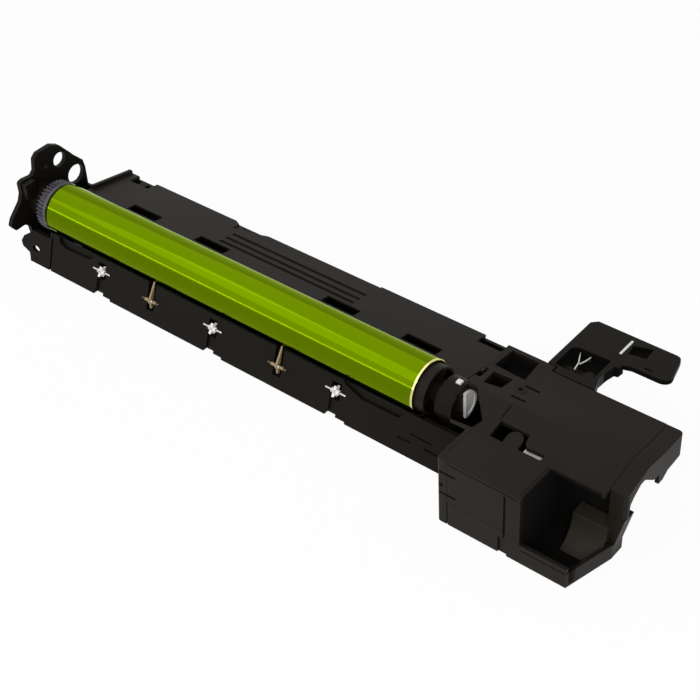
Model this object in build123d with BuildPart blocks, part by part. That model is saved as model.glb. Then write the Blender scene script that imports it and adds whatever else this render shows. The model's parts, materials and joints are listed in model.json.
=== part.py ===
from build123d import *
import os
from math import acos, atan2, cos, degrees, hypot, pi, radians, sin, sqrt, tan

os.makedirs("parts", exist_ok=True)

# The frame: X runs along the drum from its geared end to the toner block, Y to the back, Z up.
# The origin is the centre of the geared flange's outer face, on the drum's axis.

# Photosensitive drum
drum_radius = 15.0
drum_length = 266.0
drum_wall = 1.0
drum_edge_chamfer = 0.3
drum_clearance = 1.0
running_gap = 0.05
press_gap = 0.02
seat_gap = 0.2

# Geared flange at the drum's left end
flange_bore = 4.0
bore_depth = 22.0
journal_radius = 8.0
gear_start = 6.5
gear_width = 5.5
gear_module = 0.75
drum_teeth = 38
collar_length = 2.0
flange_plug = 10.0
earth_thickness = 0.4

# Hub flange at the drum's right end
hub_radius = 8.0
face_recess = 6.0
face_thickness = 2.0
rim_wall = 1.4
end_journal_radius = 5.0
rib_count = 3
rib_width = 2.4
rib_turn = 60.0
bush_wall = 2.0
tab_inset = 5.0
tab_front = -0.4
tab_width = 2.8
tab_top = 12.4
post_gap = 11.0
post_length = 10.0
post_radius = 11.5
post_web = 16.0
post_lip = 1.5
post_clearance = 4.0
step_inset = 4.0
dog_radius = 8.5
dog_chord = -1.5
dog_thickness = 1.6
dog_stub_radius = 2.0
dog_stub_length = 6.0

# Gear train behind the drum
idler_teeth = 20
auger_teeth = 18
pressure_angle = 20.0
tooth_backlash = 0.16
auger_y = 29.5
auger_z = -18.5
idler_pin_radius = 2.5
idler_width = 5.0
auger_gear_width = 4.4
flight_radius = 5.6
flight_pitch = 12.0
flight_thickness = 1.2
flight_tilt = 28.0
auger_shaft = 2.2
auger_journal = 1.8

# Long trough under the drum
floor_z = -29.0
floor_thickness = 2.0
wall_foot_y = -22.9
wall_lean = 18.8
wall_top_z = -6.8
wall_thickness = 2.4
trough_inset = 6.0
trough_tail = 18.2
back_wall_y = 60.0
back_wall_thickness = 2.0
partition_y = 18.4
partition_thickness = 2.4
partition_top = -10.5
bulkhead_thickness = 2.4
roller_bulkhead_inset = 2.8
narrow_reach = 2.0
narrow_back = 33.0

# Ribbed back cover
cover_start = 4.5
cover_front_y = 17.0
cover_front_z = -3.6
cover_tilt = 10.0
cover_thickness = 2.0
cover_overhang = 0.6
window_starts = (38.2, 92.0, 186.6, 240.8)
window_length = 22.6
window_y = (26.4, 32.8)
groove_rows = (36.5, 41.6, 47.2)
groove_span = (103.0, 201.0)
groove_width = 2.0
groove_depth = 1.0
edge_step_y = 53.0
edge_step_start = 97.5
rim_width = 2.5
rim_height = 2.0
rim_front = 28.0
clip_starts = (13.0, 271.0)
clip_length = 15.0
clip_front_y = 52.4
cover_cut = 5.0
edge_dip = ((91.5, 61.5), (97.0, 58.6), (102.5, 56.2), (111.0, 57.6), (120.0, 61.5))

# Star wheels and separation claws on the front wall
star_places = (61.2, 147.4, 233.3)
star_z = -14.4
star_radius = 3.6
star_root = 1.9
star_points = 6
star_width = 1.6
star_hub_radius = 1.4
star_hub_width = 5.0
axle_radius = 0.6
axle_length = 13.4
star_slot_width = 6.2
star_slot_height = 9.4
star_slot_depth = 5.0
channel_width = 10.0
channel_flare = 1.6
channel_depth = 1.2
notch_width = 6.0
notch_height = 3.0
left_recess = ((24.8, -6.0), (25.4, -10.2), (30.9, -11.9), (50.5, -11.2), (54.0, -9.0), (54.4, -6.0))
right_recess = ((236.4, -6.0), (238.2, -8.4), (249.8, -12.0), (273.0, -11.8), (275.4, -9.4), (275.8, -6.0))
recess_depth = 1.6
wall_marks = ((274.3, 282.4, -21.6, -20.6), (281.3, 294.9, -17.0, -16.3), (291.0, 302.6, -21.2, -20.0))
mark_depth = 0.8
claw_places = (100.6, 194.2)
claw_z = -16.8
claw_width = 1.2
claw_boss = 1.7
claw_pin_radius = 0.7
claw_pin_length = 12.8
claw_slot_width = 5.6
claw_slot_foot = -22.4
claw_tip_gap = 0.3
claw_finger = 0.9

# Housing of the geared end
bracket_face = -5.0
bracket_thickness = 3.0
bracket_holes = ((17.4, 17.1, 4.6), (27.2, 1.8, 6.0), (7.0, 17.6, 1.5))
bracket_rounding = 1.9
bracket_block = ((-5.0, -1.0), (-12.8, -5.4), (6.2, 16.4))
plate_front = -10.5
skirt_start = 2.4
skirt_seam = 1.0
ring_radius = 10.5
shaft_hole = 6.0
bay_back = 35.0
skirt_top_z = -10.8
ear_outline = (
    (11.8, -12.8), (0.7, -12.6), (-4.6, -16.2), (-6.6, -20.0), (-4.8, -22.6), (1.3, -24.4), (2.4, -27.8),
    (11.8, -27.8),
)
ear_hole = (6.3, -20.6, 3.0)
ear_flatness = 0.6
ear_rounding = 1.2

# Charge roller, cleaning blade and their fittings
roller_radius = 5.0
roller_shaft = 3.0
roller_start_inset = 16.0
roller_end_inset = 10.0
roller_gap = 0.25
bearing_block = (4.6, 10.0, 7.6)
blade_tip = (14.25, -5.2)
blade_lean = 5.0
blade_length = 15.0
blade_thickness = 1.6
blade_start_inset = 10.0
blade_end_inset = 8.0
bracket_sheet = 1.0
bracket_flange = (-24.5, -15.0)
seal_gap = 0.3

# Toner block at the right end
block_gap = 0.3
block_front = -47.5
block_length = 79.1
corner_cut = 7.1
corner_rounding = 2.0
side_bend_y = -20.0
block_shell = 2.2
block_back = 29.0
deep_length = 48.5
seam_inset = 5.8
front_top = 12.0
valley_y = -23.0
front_cover_bottom = -14.0
bay_inset = 46.5
bay_depth_y = -11.0
sill_height = 11.8
side_sill_height = 9.0
prop_width = 4.0
prop_depth = 8.0
prop_foot = 7.0
chute_gap = 9.0
chute_inset = 5.4
chute_top = -9.5
chute_lip = (-21.0, -10.5)
chute_waist = (-23.5, -20.0)
chute_foot = -31.0
front_mark_depth = 1.0
front_marks = (
    (0.9, 10.7, 3.2, 4.4),
    (0.9, 10.7, -10.1, -8.9),
    (6.5, 44.5, 10.2, 10.8),
    (37.5, 38.7, -18.6, 9.0),
    (34.7, 39.6, -30.0, -18.5),
    (5.5, 6.1, -30.0, -14.0),
    (47.5, 71.5, -20.5, -19.9),
)
front_hole = (2.5, -4.5, 1.1)

# Hump over the toner block; the outlines here have their X from the block's left side
hump_left_reach = 16.0
hump_right_inset = 4.2
hump_back = 29.6
hump_back_top = 16.0
hump_bend_y = 15.0
ridge = (-2.0, 17.8)
hump_shell = 2.2
hump_skirt = 8.0
well_big = ((-13.2, 17.4), (-12.1, 31.1), (3.6, 31.2), (5.0, 16.6))
well_small = ((-9.3, 2.5), (-10.4, 12.8), (0.6, 13.4), (-0.1, 4.2))
well_depth = 10.0
hub_cover_back = 33.6
hub_cover_length = 11.5
bite = ((-17.5, -1.5), (-8.9, -2.6), (4.1, -16.6), (1.7, -22.0), (-17.5, -23.6))
edge_notch = ((-16.5, -13.0), (5.0, 13.0))
hump_slots = (((6.7, 15.1), (1.8, 3.2)), ((7.7, 16.0), (12.3, 13.7)))
slot_depth = 1.2
boss = (7.7, 9.1)
boss_radius = 3.0
boss_hole = 1.2
boss_height = 0.4
hump_seam = ((10.7, 11.3), (-12.0, -2.8))
slope_window = (
    (11.7, -12.6), (28.1, -12.7), (28.5, -17.0), (30.3, -19.0), (40.3, -18.6), (39.9, -21.8), (11.5, -21.8),
)
window_tab = (22.7, -17.4)
tab_radius = 4.2
shutter_span = ((28.5, 38.1), (-26.0, -16.4), (8.0, 9.6))
end_cover_reach = 4.9
end_cover_front = -19.0
end_cover_foot = -2.5
arch = (
    (-16.4, -2.5), (-15.5, 5.6), (-13.0, 8.3), (-7.5, 12.0), (-4.0, 12.0), (4.0, 5.5), (9.2, 4.5),
    (9.2, -1.3), (13.0, -1.3), (17.0, 1.5),
)
end_cover_skirt = 2.7

# Arm behind the hump; its outlines too have their X from the block's left side
arm_top = 16.4
arm_thickness = 6.4
arm_strip = 3.0
arm_outline = (
    (6.9, 33.8), (6.9, 71.5), (9.9, 74.5), (57.1, 74.3), (61.4, 56.9), (57.5, 54.3), (41.5, 54.3),
    (37.0, 52.9), (36.4, 50.2), (34.4, 49.7), (33.2, 44.2), (32.9, 37.5), (34.5, 34.1), (36.0, 29.8),
    (12.5, 29.8), (12.5, 33.8),
)
arm_root = (
    (6.9, 33.8), (6.9, 54.0), (36.8, 54.0), (36.4, 50.2), (34.4, 49.7), (33.2, 44.2), (32.9, 37.5),
    (34.5, 34.1), (36.0, 29.8), (12.5, 29.8), (12.5, 33.8),
)
arm_pocket = ((10.1, 35.0), (10.1, 49.5), (13.0, 51.8), (30.9, 52.2), (30.9, 36.0), (17.5, 34.2))
arm_pocket_floor = 1.5
arm_column = (26.9, 39.5)
column_radius = 2.5
column_drop = 2.4
arm_window = ((33.6, 68.3), (43.1, 71.5), (43.8, 63.4), (34.7, 61.5))
arm_slit = ((31.0, 59.3), (31.0, 71.0), (32.2, 71.0), (32.2, 59.3))
arm_mark = ((46.2, 50.9), (56.6, 57.6))
tongue_span = (12.5, 33.5)
tongue_reach = 4.0
tongue_wall = 3.0
arm_tongue = 3.5
fork_outline = (
    (14.9, 50.0), (16.4, 50.0), (17.2, 45.8), (18.8, 49.8), (19.7, 49.4), (18.5, 44.6), (19.4, 38.6),
    (18.1, 38.2), (16.1, 44.0),
)

# Screws that hold the end housings to the trough
screw_radius = 1.5
screw_head_radius = 2.8
screw_head_height = 1.8
left_screws = ((-13.0, -23.0), (52.0, -21.0))
right_screws = ((-12.5, -22.5), (12.5, -22.5))

drum_start = gear_start + gear_width + collar_length
drum_end = drum_start + drum_length
lean_tangent = tan(radians(wall_lean))
lean_cosine = cos(radians(wall_lean))
lean_normal = (0, -lean_cosine, sin(radians(wall_lean)))
lean_plane = Plane((0, wall_foot_y, floor_z), x_dir=(1, 0, 0), z_dir=lean_normal)
wall_depth = wall_thickness / lean_cosine
cover_slope = tan(radians(cover_tilt))
floor_top = floor_z + floor_thickness
trough_start = drum_start + trough_inset
post_start = drum_end + post_gap
post_end = post_start + post_length
trough_end = post_end + trough_tail
narrow_start = post_start - narrow_reach
roller_bulkhead = drum_end - roller_bulkhead_inset
roller_start = drum_start + roller_start_inset
roller_end = drum_end - roller_end_inset
blade_span = (drum_start + blade_start_inset, drum_end - blade_end_inset)
block_left = trough_end + block_gap
block_right = block_left + block_length
block_corner = block_right - corner_cut
block_deep_right = block_left + deep_length
cover_seam = block_left + seam_inset
bay_left = block_left + bay_inset
hump_left = block_left - hump_left_reach
hump_right = block_right - hump_right_inset
hub_cover_right = block_left + hub_cover_length
end_cover_right = block_right + end_cover_reach
cover_end = narrow_start - cover_overhang


def wall_y(z):
    """Y of the front wall's outer face at height z."""
    return wall_foot_y + (z - floor_z) * lean_tangent


def cover_z(y):
    """Height of the back cover's top face at depth y."""
    return cover_front_z - (y - cover_front_y) * cover_slope


def slab(x_span, y_span, z_span, mode=Mode.ADD):
    """A rectangular block between three pairs of limits."""
    middle = [(low + high) / 2 for low, high in (x_span, y_span, z_span)]
    with Locations(tuple(middle)):
        Box(*(high - low for low, high in (x_span, y_span, z_span)), mode=mode)


def side_prism(points, x_start, x_end, mode=Mode.ADD):
    """An outline in Y and Z, carried from one X station to another."""
    with BuildSketch(Plane.YZ.offset(x_start)) as outline:
        with BuildLine():
            Polyline(*points, close=True)
        make_face()
    extrude(outline.sketch, amount=x_end - x_start, mode=mode)


def plan_prism(points, z_start, z_end, mode=Mode.ADD):
    """An outline in X and Y, carried from one height to another."""
    with BuildSketch(Plane.XY.offset(z_start)) as outline:
        with BuildLine():
            Polyline(*points, close=True)
        make_face()
    extrude(outline.sketch, amount=z_end - z_start, mode=mode)


def from_block(points):
    """Points whose X counts from the block's left side, moved to their place."""
    return tuple((block_left + x, y) for x, y in points)


def front_prism(points, y_front, y_back, mode=Mode.ADD):
    """An outline in X and Z, carried from one depth to another."""
    with BuildSketch(Plane.XZ.offset(-y_back)) as outline:
        with BuildLine():
            Polyline(*points, close=True)
        make_face()
    extrude(outline.sketch, amount=y_back - y_front, mode=mode)


def lean_cut(points, depth):
    """A recess in the leaning front wall, from its outline in X and height."""
    with BuildSketch(lean_plane) as recess:
        with BuildLine():
            Polyline(*((x, (z - floor_z) / lean_cosine) for x, z in points), close=True)
        make_face()
    extrude(recess.sketch, amount=-depth, mode=Mode.SUBTRACT)


def rod(y, z, radius, x_start, x_end, mode=Mode.ADD):
    """A round bar along X."""
    with Locations(Location(((x_start + x_end) / 2, y, z), (0, 90, 0))):
        Cylinder(radius, x_end - x_start, mode=mode)


def gear_points(teeth, phase, y, z):
    """Outline of an involute gear in Y and Z, one tooth centred on the angle phase."""
    pitch = gear_module * teeth / 2
    pressure = radians(pressure_angle)
    base = pitch * cos(pressure)
    half_tooth = (pi * gear_module / 2 - tooth_backlash) / (2 * pitch) + tan(pressure) - pressure
    stations = (pitch - 1.25 * gear_module, pitch - gear_module / 2, pitch, pitch + gear_module)
    flank = []
    for radius in stations:
        roll = acos(min(1, base / radius))
        flank.append((radius, half_tooth - tan(roll) + roll))
    points = []
    for tooth in range(teeth):
        middle = phase + 2 * pi * tooth / teeth
        for radius, spread in flank:
            points.append((y + radius * cos(middle - spread), z + radius * sin(middle - spread)))
        for radius, spread in reversed(flank):
            points.append((y + radius * cos(middle + spread), z + radius * sin(middle + spread)))
    return points


def meshed_phase(teeth, direction, driver_teeth, driver_phase):
    """Phase of a gear that lies in a direction from its driver, with its teeth in the driver's gaps."""
    driver_share = (direction - driver_phase) * driver_teeth / (2 * pi)
    return direction + pi - (0.5 - driver_share) * 2 * pi / teeth


# Centres and phases of the gear train: the idler touches the drum gear and the auger gear
drum_pitch = gear_module * drum_teeth / 2
idler_pitch = gear_module * idler_teeth / 2
auger_pitch = gear_module * auger_teeth / 2
auger_reach = hypot(auger_y, auger_z)
first_arm = drum_pitch + idler_pitch
second_arm = idler_pitch + auger_pitch
along = (first_arm**2 - second_arm**2 + auger_reach**2) / (2 * auger_reach)
across = sqrt(first_arm**2 - along**2)
idler_y = (along * auger_y + across * auger_z) / auger_reach
idler_z = (along * auger_z - across * auger_y) / auger_reach
idler_phase = meshed_phase(idler_teeth, atan2(idler_z, idler_y), drum_teeth, 0)
auger_phase = meshed_phase(
    auger_teeth, atan2(auger_z - idler_z, auger_y - idler_y), idler_teeth, idler_phase
)
gear_tip = gear_module
gear_end = gear_start + gear_width

# Aluminium tube that carries the photosensitive coating
with BuildPart() as drum_tube:
    rod(0, 0, drum_radius, drum_start, drum_end)
    rod(0, 0, drum_radius - drum_wall, drum_start, drum_end, Mode.SUBTRACT)
    rims = drum_tube.edges().filter_by(GeomType.CIRCLE).filter_by(
        lambda edge: abs(edge.radius - drum_radius) < running_gap
    )
    chamfer(rims, drum_edge_chamfer)
drum_tube.part.label = "drum_tube"
export_step(drum_tube.part, "parts/drum_tube.step")

# Moulded flange: journal, gear, collar and a plug inside the tube
with BuildPart() as drive_flange:
    rod(0, 0, journal_radius, 0, gear_start)
    side_prism(gear_points(drum_teeth, 0, 0, 0), gear_start, gear_end)
    rod(0, 0, drum_radius, gear_end, drum_start)
    rod(0, 0, drum_radius - drum_wall - press_gap, drum_start, drum_start + flange_plug)
    rod(0, 0, flange_bore, 0, bore_depth, Mode.SUBTRACT)
    rod(0, 0, drum_radius - drum_wall - 2 * rib_width, drum_start, drum_start + flange_plug, Mode.SUBTRACT)
    rod(0, 0, flange_bore + rib_width, drum_start - collar_length, drum_start + flange_plug)
    rod(0, 0, flange_bore, 0, bore_depth, Mode.SUBTRACT)
drive_flange.part.label = "drive_flange"
export_step(drive_flange.part, "parts/drive_flange.step")

# Moulded flange at the far end: recessed face with radial ribs, hub and journal
plug_start = drum_end - flange_plug
face_x = drum_end - face_recess
hub_end = post_start - seat_gap
journal_end = post_end + running_gap
with BuildPart() as end_flange:
    rod(0, 0, drum_radius - drum_wall - press_gap, plug_start, drum_end)
    rod(0, 0, drum_radius - drum_wall - rim_wall, face_x, drum_end, Mode.SUBTRACT)
    rod(0, 0, drum_radius - drum_wall - rim_wall, plug_start, face_x - face_thickness, Mode.SUBTRACT)
    rod(0, 0, hub_radius, plug_start, hub_end)
    rod(0, 0, end_journal_radius, hub_end, journal_end)
    rod(0, 0, dog_stub_radius + press_gap, journal_end - dog_stub_length, journal_end, Mode.SUBTRACT)
    rib_height = drum_radius - drum_wall - hub_radius
    for turn in range(rib_count):
        angle = rib_turn + 360 * turn / rib_count
        reach = hub_radius + (rib_height - rim_wall) / 2
        centre = (face_x + face_recess / 2, reach * cos(radians(angle)), reach * sin(radians(angle)))
        with Locations(Location(centre, (angle, 0, 0))):
            Box(face_recess, rib_height, rib_width)
end_flange.part.label = "end_flange"
export_step(end_flange.part, "parts/end_flange.step")

# White half-moon dog that couples the drum to the machine
with BuildPart() as coupling_dog:
    rod(0, 0, dog_radius, journal_end, journal_end + dog_thickness)
    slab(
        (journal_end, journal_end + dog_thickness),
        (-dog_radius, dog_chord),
        (-dog_radius, dog_radius),
        Mode.SUBTRACT,
    )
    rod(0, 0, dog_stub_radius, journal_end - dog_stub_length + press_gap, journal_end + dog_thickness)
coupling_dog.part.label = "coupling_dog"
export_step(coupling_dog.part, "parts/coupling_dog.step")

# Bush in the bearing post, with a tab that keys it in a slot of the post
bush_end = post_end - post_lip
tab_span = (post_start + tab_inset, post_start + tab_inset + tab_width)
tab_y = (tab_front, tab_front + tab_width)
with BuildPart() as drum_bush:
    rod(0, 0, end_journal_radius + bush_wall, post_start, bush_end)
    slab(tab_span, tab_y, (end_journal_radius, tab_top))
    rod(0, 0, end_journal_radius + running_gap, post_start, bush_end, Mode.SUBTRACT)
drum_bush.part.label = "drum_bush"
export_step(drum_bush.part, "parts/drum_bush.step")

# Section of the long trough: leaning front wall, floor, partition and back wall
back_top = cover_z(back_wall_y) - cover_thickness
inner_foot = wall_y(floor_top) + wall_depth
trough_outline = (
    (wall_foot_y, floor_z),
    (back_wall_y, floor_z),
    (back_wall_y, back_top),
    (back_wall_y - back_wall_thickness, back_top + back_wall_thickness * cover_slope),
    (back_wall_y - back_wall_thickness, floor_top),
    (partition_y + partition_thickness, floor_top),
    (partition_y + partition_thickness, partition_top),
    (partition_y, partition_top),
    (partition_y, floor_top),
    (inner_foot, floor_top),
    (wall_y(wall_top_z) + wall_depth, wall_top_z),
    (wall_y(wall_top_z), wall_top_z),
)
bulkhead_outline = (
    (wall_foot_y, floor_z),
    (back_wall_y, floor_z),
    (back_wall_y, back_top),
    (cover_front_y, cover_z(cover_front_y) - cover_thickness),
    (drum_radius + drum_clearance, -drum_radius / 2),
    (wall_y(wall_top_z), wall_top_z),
)
star_y = wall_y(star_z)
claw_y = wall_y(claw_z)
roller_z = -(drum_radius + roller_radius + roller_gap)
with BuildPart() as main_frame:
    side_prism(trough_outline, trough_start, trough_end)
    slab(
        (narrow_start, trough_end + 1),
        (narrow_back, back_wall_y + 1),
        (floor_z - 1, 0),
        Mode.SUBTRACT,
    )
    slab(
        (narrow_start - back_wall_thickness, narrow_start),
        (narrow_back - back_wall_thickness, back_wall_y),
        (floor_z, back_top),
    )
    slab(
        (narrow_start - back_wall_thickness, trough_end),
        (narrow_back - back_wall_thickness, narrow_back),
        (floor_z, cover_z(narrow_back) - cover_thickness),
    )
    side_prism(bulkhead_outline, trough_start, trough_start + bulkhead_thickness)
    roller_outline = (
        (wall_foot_y, floor_z),
        (partition_y + partition_thickness, floor_z),
        (partition_y + partition_thickness, partition_top),
        (wall_y(partition_top), partition_top),
    )
    side_prism(roller_outline, roller_bulkhead, roller_bulkhead + bulkhead_thickness)
    rod(0, 0, post_radius, post_start, post_end)
    slab((post_start, post_end), (-post_web / 2, post_web / 2), (floor_z, 0))
    slab(
        (trough_end - bulkhead_thickness, trough_end),
        (wall_foot_y + step_inset, narrow_back),
        (floor_z, partition_top),
    )
    rod(0, 0, drum_radius + drum_clearance, trough_start - 1, post_start - post_clearance, Mode.SUBTRACT)
    rod(0, 0, end_journal_radius + bush_wall + press_gap, post_start - 1, bush_end, Mode.SUBTRACT)
    rod(0, 0, end_journal_radius + seat_gap, bush_end - 1, post_end + 1, Mode.SUBTRACT)
    slab(
        (tab_span[0] - seat_gap, tab_span[1] + seat_gap),
        (tab_y[0] - seat_gap, tab_y[1] + seat_gap),
        (0, post_radius + 1),
        Mode.SUBTRACT,
    )
    rod(auger_y, auger_z, flight_radius + seat_gap, trough_start - 1, trough_end + 1, Mode.SUBTRACT)
    for start in (trough_start, roller_bulkhead):
        rod(0, roller_z, roller_shaft + seat_gap, start - 1, start + bulkhead_thickness + 1, Mode.SUBTRACT)
    for screw_y, screw_z in left_screws:
        screw_end = trough_start + bulkhead_thickness + 1
        rod(screw_y, screw_z, screw_radius, trough_start - 1, screw_end, Mode.SUBTRACT)
    for screw_y, screw_z in right_screws:
        screw_end = trough_end - bulkhead_thickness - 1
        rod(screw_y, screw_z, screw_radius, screw_end, trough_end + 1, Mode.SUBTRACT)
    # Seats of the star wheels: a slot, a groove for the axle and a shallow channel to the bottom edge
    for place in star_places:
        slab(
            (place - star_slot_width / 2, place + star_slot_width / 2),
            (wall_foot_y - 1, star_y + star_slot_depth),
            (star_z - star_slot_height / 2, star_z + star_slot_height / 2),
            Mode.SUBTRACT,
        )
        half = axle_length / 2 + seat_gap
        rod(star_y, star_z, axle_radius + running_gap, place - half, place + half, Mode.SUBTRACT)
        channel_top = star_z - star_slot_height / 2
        left = place - star_slot_width / 2
        channel = (
            (left, channel_top),
            (left, floor_z - 1),
            (left + channel_width + channel_flare, floor_z - 1),
            (left + channel_width, channel_top),
        )
        lean_cut(channel, channel_depth)
        slab(
            (left - channel_flare, left - channel_flare + notch_width),
            (wall_foot_y - 1, wall_foot_y + notch_height),
            (floor_z - 1, floor_z + notch_height),
            Mode.SUBTRACT,
        )
    for outline in (left_recess, right_recess):
        lean_cut(outline, recess_depth)
    for x_low, x_high, z_low, z_high in wall_marks:
        lean_cut(((x_low, z_low), (x_high, z_low), (x_high, z_high), (x_low, z_high)), mark_depth)
    # Slots of the claws with a groove for each pin
    for place in claw_places:
        slab(
            (place - claw_slot_width / 2, place + claw_slot_width / 2),
            (wall_foot_y - 1, -claw_boss),
            (claw_slot_foot, wall_top_z + 1),
            Mode.SUBTRACT,
        )
        half = claw_pin_length / 2 + seat_gap
        rod(claw_y, claw_z, claw_pin_radius + running_gap, place - half, place + half, Mode.SUBTRACT)
main_frame.part.label = "main_frame"
export_step(main_frame.part, "parts/main_frame.step")

# Ribbed cover over the waste trough
cover_back = back_wall_y + cover_overhang
cover_outline = (
    (cover_front_y, cover_z(cover_front_y)),
    (cover_back, cover_z(cover_back)),
    (cover_back, cover_z(cover_back) - cover_thickness),
    (cover_front_y, cover_z(cover_front_y) - cover_thickness),
)
with BuildPart() as back_cover:
    side_prism(cover_outline, cover_start, cover_end)
    rim_outline = (
        (rim_front, cover_z(rim_front)),
        (rim_front + rim_height, cover_z(rim_front) + rim_height),
        (cover_back, cover_z(cover_back) + rim_height),
        (cover_back, cover_z(cover_back)),
    )
    side_prism(rim_outline, cover_start, cover_start + rim_width)
    for row in groove_rows:
        groove_outline = (
            (row - groove_width / 2, cover_z(row - groove_width / 2) + 1),
            (row + groove_width / 2, cover_z(row + groove_width / 2) + 1),
            (row + groove_width / 2, cover_z(row + groove_width / 2) - groove_depth),
            (row - groove_width / 2, cover_z(row - groove_width / 2) - groove_depth),
        )
        side_prism(groove_outline, *groove_span, Mode.SUBTRACT)
    step_outline = (
        (edge_step_y, cover_z(edge_step_y) + 1),
        (cover_back + 1, cover_z(cover_back) + 1),
        (cover_back + 1, cover_z(cover_back) - groove_depth),
        (edge_step_y, cover_z(edge_step_y) - groove_depth),
    )
    side_prism(step_outline, edge_step_start, groove_span[1], Mode.SUBTRACT)
    for start in window_starts:
        slab((start, start + window_length), window_y, (back_top - cover_cut, 0), Mode.SUBTRACT)
    for start in clip_starts:
        slab((start, start + clip_length), (clip_front_y, cover_back + 1), (back_top - cover_cut, 0), Mode.SUBTRACT)
    plan_prism(edge_dip, back_top - cover_cut, 0, Mode.SUBTRACT)
back_cover.part.label = "back_cover"
export_step(back_cover.part, "parts/back_cover.step")

# Housing of the geared end: bearing ring, bracket plate, gear bay and the skirt with its ear
bracket_outer = bracket_face - bracket_thickness
bay_end = trough_start - seat_gap
bracket_outline = (
    (13.4, 29.2), (19.0, 26.2), (24.8, 19.0), (28.2, 14.6), (34.0, 8.2), (bay_back, 3.0), (bay_back, floor_z),
    (plate_front, floor_z), (-12.4, -13.4), (-16.1, -10.4), (-22.9, -10.8), (-25.6, -6.6), (-23.4, -2.5),
    (-15.6, 5.0), (-13.6, 9.6), (-13.6, 16.9), (-10.5, 17.8), (-4.0, 17.0), (-1.5, 19.2), (-0.3, 26.4),
    (2.8, 29.0),
)
with BuildPart() as drive_end_housing:
    with BuildSketch(Plane.YZ.offset(bracket_outer)) as plate:
        with BuildLine():
            Polyline(*bracket_outline, close=True)
        make_face()
        fillet(plate.vertices().filter_by(lambda v: v.Z > auger_z), bracket_rounding)
        for hole_y, hole_z, hole_radius in bracket_holes:
            with Locations((hole_y, hole_z)):
                Circle(hole_radius, mode=Mode.SUBTRACT)
    extrude(amount=bracket_thickness)
    bay_top = cover_z(bay_back) - cover_thickness
    bay_inner = bay_back - back_wall_thickness
    bay_inner_top = cover_z(bay_inner) - cover_thickness
    skirt_outline = (
        (wall_foot_y, floor_z),
        (bay_back, floor_z),
        (bay_back, bay_top),
        (bay_inner, bay_inner_top),
        (bay_inner, floor_top),
        (inner_foot, floor_top),
        (wall_y(skirt_top_z) + wall_depth, skirt_top_z),
        (wall_y(skirt_top_z), skirt_top_z),
    )
    side_prism(skirt_outline, skirt_start, bay_end)
    rear_outline = (
        (plate_front, floor_z),
        (bay_back, floor_z),
        (bay_back, bay_top),
        (bay_inner, bay_inner_top),
        (bay_inner, floor_top),
        (plate_front, floor_top),
    )
    side_prism(rear_outline, bracket_face, skirt_start)
    slab(*bracket_block)
    deep_outline = (
        (bay_inner, floor_z),
        (back_wall_y, floor_z),
        (back_wall_y, back_top),
        (bay_inner, bay_inner_top),
    )
    side_prism(deep_outline, cover_start, bay_end)
    hollow_outline = (
        (bay_inner - 1, floor_top),
        (back_wall_y - back_wall_thickness, floor_top),
        (back_wall_y - back_wall_thickness, 0),
        (bay_inner - 1, 0),
    )
    side_prism(hollow_outline, cover_start + rim_width, bay_end - bulkhead_thickness, Mode.SUBTRACT)
    side_prism(bulkhead_outline, bay_end - bulkhead_thickness, bay_end)
    rod(0, 0, ring_radius, bracket_face, gear_start - seat_gap)
    rod(0, 0, journal_radius + running_gap, 0, gear_start, Mode.SUBTRACT)
    rod(0, 0, shaft_hole, bracket_outer - 1, 1, Mode.SUBTRACT)
    rod(0, 0, drum_radius + gear_tip + drum_clearance, gear_start - seat_gap, bay_end + 1, Mode.SUBTRACT)
    rod(idler_y, idler_z, idler_pitch + gear_tip + drum_clearance / 2, bay_end - bulkhead_thickness - 1,
        bay_end - bulkhead_thickness + 1, Mode.SUBTRACT)
    rod(auger_y, auger_z, flight_radius + seat_gap, bay_end - bulkhead_thickness - 1, bay_end + 1,
        Mode.SUBTRACT)
    rod(idler_y, idler_z, idler_pin_radius, bracket_face - 1, gear_end - idler_width - seat_gap)
    rod(auger_y, auger_z, auger_journal + 2, bracket_face, gear_end - auger_gear_width - 2)
    rod(auger_y, auger_z, auger_journal + running_gap, bracket_face, gear_end, Mode.SUBTRACT)
    rod(idler_y, idler_z, screw_radius, bracket_outer - 1, gear_end, Mode.SUBTRACT)
    for screw_y, screw_z in left_screws:
        rod(screw_y, screw_z, screw_radius, bay_end - bulkhead_thickness - 1, bay_end + 1, Mode.SUBTRACT)
    with BuildSketch(lean_plane) as ear:
        with BuildLine():
            Polyline(*((x, (z - floor_z) / lean_cosine) for x, z in ear_outline), close=True)
        make_face()
        fillet(ear.vertices().filter_by(lambda v: v.X < skirt_start), ear_rounding)
    extrude(ear.sketch, amount=-wall_thickness)
    with BuildSketch(lean_plane) as eye:
        with Locations((ear_hole[0], (ear_hole[1] - floor_z) / lean_cosine)):
            Ellipse(ear_hole[2], ear_hole[2] * ear_flatness)
    extrude(eye.sketch, amount=-2 * wall_thickness, mode=Mode.SUBTRACT)
    seam = (
        (bay_end - skirt_seam, floor_z - 1),
        (bay_end + 1, floor_z - 1),
        (bay_end + 1, skirt_top_z + 1),
        (bay_end - skirt_seam, skirt_top_z + 1),
    )
    lean_cut(seam, skirt_seam)
drive_end_housing.part.label = "drive_end_housing"
export_step(drive_end_housing.part, "parts/drive_end_housing.step")

# Idler gear, its pin, and the waste auger with its gear
idler_start = gear_end - idler_width
with BuildPart() as idler_gear:
    side_prism(gear_points(idler_teeth, idler_phase, idler_y, idler_z), idler_start, gear_end)
    rod(idler_y, idler_z, idler_pin_radius + running_gap, idler_start, gear_end, Mode.SUBTRACT)
idler_gear.part.label = "idler_gear"
export_step(idler_gear.part, "parts/idler_gear.step")

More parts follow.
